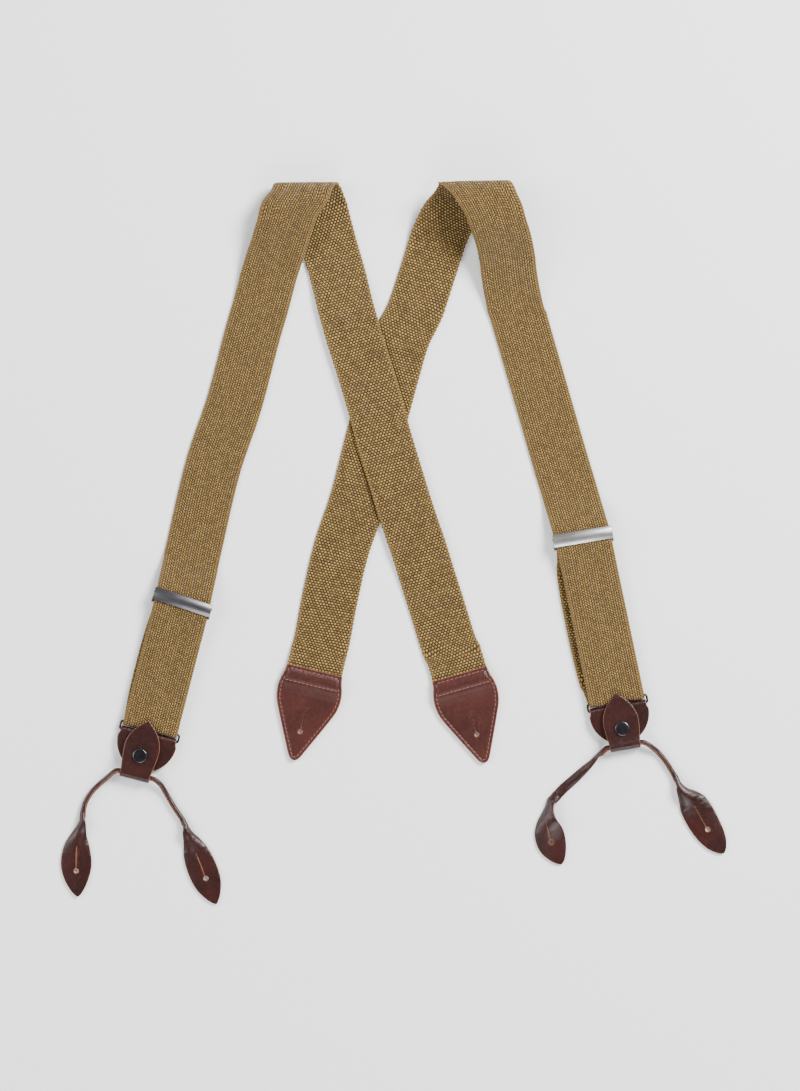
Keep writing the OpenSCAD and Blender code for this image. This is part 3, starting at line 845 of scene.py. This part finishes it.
# %% Tab faces and linings
TAB_OUTLINE = smooth([(19.2, 0), (19.9, -5), (21.4, -10.5), (22, -17), (20.8, -24.5),
                      (17.6, -32), (13.8, -40), (9.9, -48), (6.5, -55), (3.9, -60),
                      (2, -62), (0.1, -62.6)], 4)
SEAM_INSET = 2.3
SEAM_ROW = 8.4
UPPER_ROW = -SEAM_INSET * 0.9
LOWER_ROW = UPPER_ROW - SEAM_ROW
LEATHER_THICK = 1.4
TAB_OVER = TAB_WEB_Z + HALF + 0.05


def tab_surface(x, y):
    """Height of the underside of a tab's face, and how far in from its edge each point is."""
    base = np.interp(-y, [0, 10.5, 14.7, 19, 70],
                     [TAB_OVER, TAB_OVER, (TAB_OVER + TAB_LINING) / 2 - 0.1, TAB_LINING,
                      TAB_LINING])
    half = np.interp(-y, -TAB_OUTLINE[:, 1], TAB_OUTLINE[:, 0])
    return base, half - np.abs(x)


def tab_swell(x, y):
    """How far the webbing inside puffs the leather up between the two top rows."""
    share = np.clip((UPPER_ROW - y) / SEAM_ROW, 0, 1)
    _, edge = tab_surface(x, y)
    return 0.5 * np.sin(share * math.pi) * np.clip(edge / 4, 0, 1)


def tab_groove(x, y):
    """How far the stitching pulls the leather down at each point."""
    _, edge = tab_surface(x, y)
    slant = np.interp(-y, [0, 17, 30, 62], [1.0, 1.0, 0.85, 0.85])
    distances = [np.abs(y - UPPER_ROW), np.abs(y - LOWER_ROW), np.abs(edge * slant - SEAM_INSET)]
    nearest = np.minimum.reduce(distances)
    return 0.26 * np.exp(-((nearest / 0.75) ** 2))


for side in SIDES:
    face = cut_blank(f"{side}_back_tab_face", [(w - 0.3 * min(1, w), y) for w, y in TAB_OUTLINE],
                     LEATHER_THICK, 0.7)
    buttonhole(face, LEATHER_THICK, TAB_HOLE_Y, TAB_SLIT_TOP, 0.4)
    # The tab face takes the lighter leather, a painted sheen.
    face.data.materials[0] = tab_leather_painted_sheen
    points = mesh_points(face)
    base, _ = tab_surface(points[:, 0], points[:, 1])
    top = points[:, 2] > 0
    points[:, 2] += base + LEATHER_THICK / 2
    points[:, 2] += np.where(top, tab_swell(points[:, 0], points[:, 1])
                             - tab_groove(points[:, 0], points[:, 1]), 0)
    set_points(face, points)
    finish_leather(face, tab_place[side].matrix())
    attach(face, "straps")
    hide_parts(f"{side}_rear_tab_face")

    lining = cut_blank(f"{side}_back_tab_lining", TAB_OUTLINE, TAB_LINING, 1.4)
    punch(lining, 0, TAB_HOLE_Y, HOLE_RADIUS)
    punch(lining, 0, (TAB_HOLE_Y + TAB_SLIT_TOP) / 2, (0.5, TAB_SLIT_TOP - TAB_HOLE_Y))
    lining.data.materials[0] = lining_leather
    points = mesh_points(lining)
    points[:, 2] += TAB_LINING / 2
    set_points(lining, points)
    finish_leather(lining, tab_place[side].matrix())
    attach(lining, "straps")
    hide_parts(f"{side}_rear_tab_lining")

# %% [markdown]
# ### Stitching
#
# One stitch is a short round-ended bead of thread. Copies of it are set end to end along each
# seam, turned to follow it, and joined into one piece for each tab.

# %% Stitches
STITCH_PITCH = 2.9
STITCH_LENGTH = 2.3
STITCH_SLANT = math.radians(6)


def one_stitch():
    bpy.ops.mesh.primitive_uv_sphere_add(segments=8, ring_count=6, radius=0.5)
    stitch = active_object()
    points = mesh_points(stitch)
    points[:, 0] = points[:, 0] * 0.8 + np.sign(points[:, 0].round(4)) * (STITCH_LENGTH / 2 - 0.4)
    points[:, 1] *= 0.5
    points[:, 2] *= 0.46
    set_points(stitch, points)
    stitch.data.materials.append(waxed_thread)
    bpy.ops.object.shade_smooth()
    return stitch


def even_spots(line, pitch):
    """Spots a pitch apart along a flat line, each with the line's direction."""
    line = np.array(line, float)
    distance = run_lengths(line)
    count = max(2, round(distance[-1] / pitch))
    middle = (np.arange(count) + 0.5) * distance[-1] / count
    ahead = on_line(middle + 0.4, distance, line) - on_line(middle - 0.4, distance, line)
    return on_line(middle, distance, line), np.arctan2(ahead[:, 1], ahead[:, 0])


def inset_outline(inset, top, bottom):
    """The tab's outline moved inwards, from the top right round the tip to the top left."""
    ahead = headings(TAB_OUTLINE)
    moved = TAB_OUTLINE + inset * np.stack([ahead[:, 1], -ahead[:, 0]], axis=1)
    moved = moved[(moved[:, 0] > 0.3) & (moved[:, 1] < top) & (moved[:, 1] > bottom)]
    return np.vstack([moved, moved[::-1] * (-1, 1)])


for side in SIDES:
    stitch = one_stitch()
    seams = [[(-16.6, UPPER_ROW), (16.6, UPPER_ROW)], [(-18.4, LOWER_ROW), (18.4, LOWER_ROW)],
             inset_outline(SEAM_INSET, -1.5, -61)]
    copies = []
    for seam in seams:
        spots, turns = even_spots(seam, STITCH_PITCH)
        for (x, y), turn in zip(spots, turns):
            copy = bpy.data.objects.new("stitch", stitch.data.copy())
            bpy.context.collection.objects.link(copy)
            base, _ = tab_surface(np.array([x]), np.array([y]))
            rise = base[0] + LEATHER_THICK - tab_groove(np.array([x]), np.array([y]))[0] + 0.06
            copy.data.transform(Matrix.Translation((x, y, rise))
                                @ Matrix.Rotation(turn + STITCH_SLANT, 4, "Z"))
            copies.append(copy)
    pick(*copies)
    bpy.ops.object.join()
    seam = active_object()
    seam.name = f"{side}_back_tab_stitching"
    bpy.data.objects.remove(stitch)
    set_points(seam, mesh_points(seam) * MM)
    seam.data.transform(tab_place[side].matrix())
    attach(seam, "straps")

# %% [markdown]
# ## Leather front ends
#
# At the front, a half-moon of leather is folded over the lower bar of the wire loop. Inside it
# sits a second strip, the snap strap. It runs down, turns forward round the mousetail cord and
# comes up in front as a pointed flap, which snaps onto a stud. Opening the flap frees the cord.

# %% Half-moon yokes
CORD_WIDE = 3.6
FOLD_Z = 5.1
SNAP_X = {"left": -2, "right": 0}
SNAP_Y = -17
HOOK_Y = -BAR_GAP / 2


def half_moon(y):
    """Half the yoke's width at a height y."""
    outline = np.array([(19.2, 0.5), (19.2, -4.5), (20.2, -6.5)] + [
        (20.2 * math.cos(math.radians(a)), -6.5 - 20.8 * math.sin(math.radians(a)))
        for a in range(6, 61, 6)])
    return np.interp(-y, -outline[:, 1], outline[:, 0])


def fold_over(blank, profile, aside=0.0):
    """Bends a blank cut downwards from y = 0, its grain side coming out on top."""
    bent = profile.bend(mesh_points(blank) * (1, -1, -1))
    bent[:, 0] += aside
    set_points(blank, bent)


for side in SIDES:
    turn_radius = 0.75 + 0.2 + LEATHER_THICK / 2
    profile = Profile([(-24.5, 1.05), (-18, 1.05), (-12, 1.05), (-6, 1.05)]
                      + arc(HOOK_Y, WIRE_Z, turn_radius, range(-90, 91, 30))
                      + [(-6, 4.2), (-9, 3.98), (-12, 3.95), (-18, 3.95), (-24.5, 3.95)])
    steps = np.linspace(0, profile.length, 120)
    heights = np.interp(steps, profile.distance, profile.line[:, 0])
    outline = [(half_moon(y), -s) for s, y in zip(steps, heights)]
    yoke = cut_blank(f"{side}_half_moon_yoke", outline, LEATHER_THICK, 0.8)
    middle = profile.length / 2
    for part in ((0, middle - 4), (middle + 4, profile.length)):
        hole = profile.distance_at_y(SNAP_Y, part)
        punch(yoke, SNAP_X[side], -hole, HOLE_RADIUS)
    fold_over(yoke, profile)
    finish_leather(yoke, ring_place[side].matrix())
    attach(yoke, f"{side}_yoke")
    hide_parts(f"{side}_yoke_leather")

# %% Snap straps
FLAP_OUTLINE = smooth([(0, 7), (3.4, 4.2), (7, 0.6), (10, -4), (11.7, -9), (12, -13),
                       (11.7, -18), (10.8, -25), (10.2, -30)], 4)

for side in SIDES:
    fold_y = float((fold_place[side].origin - ring_place[side].origin) @ ring_place[side].y)
    turn_radius = CORD_WIDE / 2 + 0.1 + LEATHER_THICK / 2
    profile = Profile([(-6, 2.5), (-12, 2.5), (-18, 2.5), (-24, 2.5)]
                      + arc(fold_y, FOLD_Z, turn_radius, range(270, 89, -30))
                      + [(-25.5, 7.35), (-21, 7.1), (-12, 7.1), (0, 7.15), (7, 7.0)])
    outline = []
    fold_distance = profile.distance_at_y(fold_y + 2, (profile.length * 0.5, profile.length))
    for s in np.linspace(0, profile.length, 160):
        y = float(np.interp(s, profile.distance, profile.line[:, 0]))
        if s > fold_distance - 3:
            half = float(np.interp(-y, -FLAP_OUTLINE[:, 1], FLAP_OUTLINE[:, 0]))
        else:
            half = 10.2 - 0.4 * max(0, 1 - s / 20)
        outline.append((max(half, 0.1), -s))
    strap = cut_blank(f"{side}_snap_strap", outline, LEATHER_THICK, 0.7)
    for part in ((0, 20), (fold_distance, profile.length)):
        hole = profile.distance_at_y(SNAP_Y, part)
        punch(strap, 0, -hole, HOLE_RADIUS)
    fold_over(strap, profile, SNAP_X[side])
    finish_leather(strap, ring_place[side].matrix())
    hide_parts(f"{side}_snap_strap_back", f"{side}_snap_flap")
    low = ring_place[side].point(0, fold_y - 1.2) * MM
    high = ring_place[side].point(0, fold_y + 2.5) * MM
    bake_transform(strap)

# %% [markdown]
# ## Mousetails
#
# A mousetail is one strip of leather with a wide leaf at each end. The middle of the strip is
# rolled up lengthwise until its two edges meet, which makes the round cord, and near each end
# the roll opens out into the flat leaf that buttons to the trousers. So each leg is made as a
# flat strip, punched, and then rolled up as tightly as each part of it needs.

# %% Rolling a strip
ROLL_RADIUS = 1.15


class Roll:
    """A middle line through the air that a strip lies along, rolled up lengthwise.

    Its curl and roll say, at each distance, how tightly and which way round."""

    def __init__(self, points):
        self.middle = smooth(points, 10)
        self.distance = run_lengths(self.middle)
        self.length = self.distance[-1]
        self.ahead = headings(self.middle, self.distance)

    def distance_to(self, point):
        gaps = np.linalg.norm(self.middle[:, :2] - np.array(point[:2]), axis=1)
        return float(self.distance[gaps.argmin()])

    def lay(self, x, distance, height):
        """Flat (x, distance, height) to rolled-up (x, y, z)."""
        middle = on_line(distance, self.distance, self.middle)
        ahead = on_line(distance, self.distance, self.ahead)
        ahead /= np.linalg.norm(ahead, axis=1)[:, None]
        right = np.cross(ahead, (0, 0, 1))
        right /= np.linalg.norm(right, axis=1)[:, None]
        up = np.cross(right, ahead)
        curl = np.maximum(np.interp(distance, *np.array(self.curl, float).T), 1e-4)
        turn = np.radians(np.interp(distance, *np.array(self.roll, float).T))
        side = np.cos(turn)[:, None] * right + np.sin(turn)[:, None] * up
        top = np.cos(turn)[:, None] * up - np.sin(turn)[:, None] * right
        lift = ROLL_RADIUS * np.clip(curl * ROLL_RADIUS, 0, 1)
        angle = x * curl
        out = np.sin(angle)[:, None] * side + np.cos(angle)[:, None] * top
        return middle + (lift - 1 / curl)[:, None] * top + (1 / curl + height)[:, None] * out


def settle(points, distance, line, rest):
    """Lifts each slice of a piece until nothing in it is below the table."""
    edges = np.arange(0, line.length + 1.0, 1.0)
    slot = np.clip(np.digitize(distance, edges) - 1, 0, len(edges) - 1)
    lowest = np.full(len(edges), 9.0)
    np.minimum.at(lowest, slot, points[:, 2])
    lift = np.maximum(0, rest - lowest)
    lift = np.convolve(np.pad(lift, 2, mode="edge"), np.ones(5) / 5, mode="valid")
    points[:, 2] += np.interp(distance, edges + 0.5, lift)
    points[:, 2] = np.maximum(points[:, 2], 0.02)
    return points


# %% Routes of the legs
CORD_Z = (5.1, 4.9, 3.6, 2.2, 1.8, 1.8, 1.8, 1.8)
LEAF_THICK = 2.0
LEAF_CUT = 1.7
LEAF_LENGTH = 52
STRIP_CUT = 1.3
STRIP_HALF = 3.58
NECK = 7.0
cord_route = {
    "left_outer": [(-186, -152.5), (-189, -154), (-192.5, -157), (-196, -160), (-200, -163.5),
                   (-204, -168), (-208, -175), (-210, -184)],
    "left_inner": [(-161.5, -158.5), (-158.5, -160.5), (-156, -163.5), (-153.5, -168),
                   (-150, -174), (-147, -179), (-143.5, -184), (-140.5, -189)],
    "right_outer": [(168, -133.5), (171.5, -135), (175, -137.5), (178, -140), (182, -144.5),
                    (185.5, -149.5), (188.5, -154.5), (191.5, -159.5)],
    "right_inner": [(144, -137.5), (141, -139.5), (138, -142), (134.5, -145.5), (128, -152),
                    (120, -160), (113, -166.5), (107.5, -172)],
}
leaf_spine = {
    "left_outer": [(-210.3, -186.3), (-213.5, -204), (-214, -220.5), (-213, -238)],
    "left_inner": [(-139.3, -191.2), (-133, -209), (-126.5, -225.5), (-119.5, -243)],
    "right_outer": [(193, -162), (203, -177), (212, -192.5), (223, -208.5)],
    "right_inner": [(105.8, -173.8), (103.5, -187), (106.5, -201), (113.5, -216)],
}
LEAF_SHAPE = {
    "left_outer": [(0, 3.7), (8, 5.0), (17, 8.4), (26, 10.2), (33, 10.1), (40, 8.2), (46, 5.4),
                   (50, 2.6), (52, 0.4)],
    "left_inner": [(0, 3.7), (6, 5.2), (14, 8.0), (22, 9.6), (31, 10.0), (39, 8.8), (46, 5.6),
                   (50, 2.6), (52, 0.4)],
    "right_outer": [(0, 3.7), (4, 5.6), (10, 8.6), (18, 10.2), (28, 10.4), (38, 9.2), (45, 6.9),
                    (50, 3.4), (52, 0.6)],
    "right_inner": [(0, 3.7), (6, 4.4), (14, 7.2), (22, 9.6), (30, 10.2), (38, 9), (45, 6.2),
                    (50, 3), (52, 0.4)],
}
SEAM_SIDE = {"left_outer": -1, "left_inner": 1, "right_outer": 1, "right_inner": -1}


def tight_then_open(neck, length, turn):
    """How a leg rolls: a closed tube as far as the neck, which then opens into the leaf."""
    curl = [(0, 1 / ROLL_RADIUS), (neck - 6, 1 / ROLL_RADIUS), (neck - 3, 0.7), (neck, 0.42),
            (neck + 4, 0.3), (neck + 9, 0.17), (neck + 16, 0.05), (neck + 24, 0.012),
            (length, 0.008)]
    roll = [(0, turn), (neck - 12, turn), (neck - 4, turn * 0.75), (neck + 2, turn * 0.3),
            (neck + 8, turn * 0.06), (neck + 12, 0), (length, 0)]
    return curl, roll


def slack_strip(neck, length, turn):
    """A leg that has come unrolled: a flat strip that stands on one edge at its neck."""
    curl = [(0, 1 / ROLL_RADIUS), (4, 0.8), (12, 0.5), (22, 0.32), (neck - 6, 0.24),
            (neck + 4, 0.12), (neck + 14, 0.05), (length, 0.01)]
    roll = [(0, turn), (4, turn), (14, turn * 0.55), (24, turn * 0.25), (neck - 14, 0),
            (neck - 6, -22), (neck + 2, -52), (neck + 10, -38), (neck + 20, -10),
            (neck + 28, 0), (length, 0)]
    return curl, roll


# %% Cords and leaves
def strip(name, line, first, outline, thickness, open_ends, holes=()):
    """A stretch of the strip, cut flat from a distance first along the leg, then rolled."""
    blank = cut_blank(name, outline, thickness, 0.6, open_ends)
    for hole_y, slit_y in holes:
        buttonhole(blank, thickness, hole_y, slit_y, 0.7)
    points = mesh_points(blank)
    distance = first - points[:, 1]
    set_points(blank, settle(line.lay(points[:, 0], distance, points[:, 2]), distance, line, 0.12))
    finish_leather(blank)
    return blank


for leg, flat in cord_route.items():
    side = leg.split("_")[0]
    way = np.array(flat[1], float) - flat[0]
    into_fold = -3.2 * np.sign(way @ ring_place[side].x) * ring_place[side].x
    cord_points = [(*(np.array(flat[0]) + into_fold), CORD_Z[0])]
    cord_points += [(x, y, z) for (x, y), z in zip(flat, CORD_Z)]
    leaf_z = LEAF_THICK / 2 + 0.15
    line = Roll(cord_points + [(x, y, z) for (x, y), z in
                               zip(leaf_spine[leg], (1.7, leaf_z, leaf_z, leaf_z))])
    neck = line.distance_to(leaf_spine[leg][0])
    start = neck - NECK
    rolled = slack_strip if leg == "right_inner" else tight_then_open
    line.curl, line.roll = rolled(neck, line.length, 148 * SEAM_SIDE[leg])

    cord = strip(f"{leg}_mousetail_cord", line, 0,
                 [(STRIP_HALF, 0), (STRIP_HALF, -start)], STRIP_CUT, (True, True))
    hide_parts(f"{leg}_cord")
    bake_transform(cord)

    shape = smooth(LEAF_SHAPE[leg], 6)
    stretch = (line.length - neck) / LEAF_LENGTH
    outline = [(float(np.interp((s - NECK) / stretch, *shape.T)), -s)
               for s in np.linspace(0, line.length - start, 90)]
    hole = start - line.distance_to(leaf_spine[leg][2])
    slit = start - line.distance_to(leaf_spine[leg][1])
    leaf = strip(f"{leg}_mousetail_leaf", line, start, outline, LEAF_CUT,
                 (True, False), [(hole, slit)])
    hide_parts(f"{leg}_leaf")
    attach(leaf, f"{leg}_leg")

# %% [markdown]
# ## Metal
#
# The sliders are bent from satin nickel-plated strip and the wire loops from dark plated wire.
# Pressed metal never has a perfectly sharp edge, so the measured parts get a small bevel, which
# is what catches the light along each edge.

# %% Metal finishes
PLATE_HALF = 4.3


def metal_finish(name, dark, light, rough, streaks, place_of=None, crown=0.0):
    """crown is the rise of a pressed plate's middle over its long edges, in millimetres."""
    recipe = Recipe(name)
    place = recipe.object_coordinates()
    if place_of:
        own = recipe.add("ShaderNodeMapping", vector_type="TEXTURE")
        recipe.plug(place, own.inputs["Vector"])
        own.inputs["Location"].default_value = (*(place_of.origin * MM), 0)
        own.inputs["Rotation"].default_value = (0, 0, math.radians(place_of.tilt))
        place = own.outputs["Vector"]
        parts = recipe.add("ShaderNodeSeparateXYZ")
        recipe.plug(place, parts.inputs["Vector"])
        share = recipe.times(parts.outputs["Y"], 1 / (PLATE_HALF * MM))
        dip = recipe.calc("POWER", recipe.calc("ABSOLUTE", share), 2.0)
        recipe.bump(recipe.times(dip, -1.0), crown * MM)
    brushed = recipe.noise(place, 300, 3, 0.6, stretch=streaks)
    cloud = recipe.noise(place, 90, 2)
    return recipe.surface(colour=recipe.blend(brushed, dark, light), metallic=1.0,
                          rough=recipe.plus(recipe.times(cloud, 0.2), rough))


satin_nickel = metal_finish("satin_nickel", rgb(130, 128, 128), rgb(190, 188, 187), 0.3,
                            (0.25, 6.0, 6.0))
# Each slider has its own copy of the nickel: the left one is painted much darker, painted shade
# standing in for the dark reflection it shows, and the right one keeps about the plain satin
# nickel's colour.
slider_nickel_shaded_per_side = {
    "left": metal_finish("left_slider_nickel", rgb(62, 61, 64), rgb(122, 121, 124), 0.26,
                         (0.2, 5.0, 5.0), slider_place["left"], 0.9),
    "right": metal_finish("right_slider_nickel", rgb(120, 118, 119), rgb(196, 194, 193), 0.28,
                          (0.2, 5.0, 5.0), slider_place["right"], 0.9),
}
gunmetal = metal_finish("gunmetal", rgb(40, 37, 37), rgb(70, 66, 65), 0.18, (1.0, 1.0, 1.0))
cap_face = metal_finish("cap_face", rgb(36, 34, 36), rgb(62, 60, 63), 0.24, (1.0, 1.0, 1.0))
# The rim's lighter copy of the dark metal is a painted highlight: the bright crescent.
cap_rim_painted_highlight = metal_finish("cap_rim_painted_highlight", rgb(64, 62, 64), rgb(104, 102, 103), 0.16, (1.0, 1.0, 1.0))


def dressed(node_name, finish, bevel):
    """A measured part with its edges eased and its own finish."""
    node = bpy.data.objects[node_name]
    pick(node)
    bpy.ops.object.duplicate()
    part = active_object()
    part.name = node_name + "_finished"
    bpy.ops.object.mode_set(mode="EDIT")
    bpy.ops.mesh.select_all(action="SELECT")
    bpy.ops.mesh.remove_doubles(threshold=0.00001)
    bpy.ops.mesh.dissolve_limited(angle_limit=math.radians(3))
    bpy.ops.object.mode_set(mode="OBJECT")
    if bevel:
        apply_modifier(part, "BEVEL", width=bevel * MM, segments=2, limit_method="ANGLE",
                       angle_limit=math.radians(50))
    part.data.materials.clear()
    part.data.materials.append(finish)
    bpy.ops.object.shade_smooth_by_angle(angle=math.radians(35))
    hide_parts(node_name)
    return part


# %% Sliders and wire loops
for side in SIDES:
    for node, finish, bevel, slot, body in (
            ("slider_frame", slider_nickel_shaded_per_side[side], 0.22, "nickel", "slider"),
            ("clamp_lever", satin_nickel, 0.0, "nickel", "clamp"),
            ("slider_rear_bar", gunmetal, 0.2, "gunmetal", "slider"),
            ("clamp_pin", gunmetal, 0.12, "gunmetal", "slider"),
            ("wire_loop", gunmetal, 0.0, "gunmetal", "ring"),
            ("snap_socket", satin_nickel, 0.12, "nickel", "flap"),
            ("snap_stud", satin_nickel, 0.08, "nickel", "yoke"),
            ("snap_post", satin_nickel, 0.08, "nickel", "yoke"),
            ("mousetail_centre", dark_leather, 0.0, "leather", "yoke")):
        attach(dressed(f"{side}_{node}", finish, bevel), f"{side}_{body}")

# %% [markdown]
# ## Snap caps
#
# The cap is a pressed disc with a rolled rim round a nearly flat face. The rim shows as a
# bright crescent, so it is given a lighter copy of the dark metal, a painted highlight, and the
# face keeps a dark metal colour.

# %% Snap caps
CAP_WIDE = 9.6


def disc(radius, low, high, bevel, finish):
    """A round plate from one height to another with its rims rolled over."""
    bpy.ops.mesh.primitive_cylinder_add(vertices=48, radius=radius, depth=high - low,
                                        location=(0, 0, (low + high) / 2))
    plate = active_object()
    bpy.ops.object.transform_apply(location=True, rotation=False, scale=False)
    apply_modifier(plate, "BEVEL", width=bevel, segments=4)
    plate.data.materials.append(finish)
    return plate


for side in SIDES:
    base_z, top_z = (corner[2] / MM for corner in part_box(f"{side}_snap_cap"))
    rim = disc(CAP_WIDE / 2, top_z - 1.45, top_z - 0.25, 0.55, cap_rim_painted_highlight)
    face = disc(CAP_WIDE / 2 - 0.6, top_z - 0.6, top_z - 0.12, 0.12, cap_face)
    barrel = disc(1.45, base_z, top_z - 1.0, 0.1, gunmetal)
    pick(rim, face, barrel)
    bpy.ops.object.join()
    cap = active_object()
    cap.name = f"{side}_snap_cap_finished"
    set_points(cap, (mesh_points(cap) + (SNAP_X[side], SNAP_Y, 0)) * MM)
    cap.data.transform(ring_place[side].matrix())
    bpy.ops.object.shade_smooth_by_angle(angle=math.radians(50))
    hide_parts(f"{side}_snap_cap")
    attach(cap, f"{side}_flap")
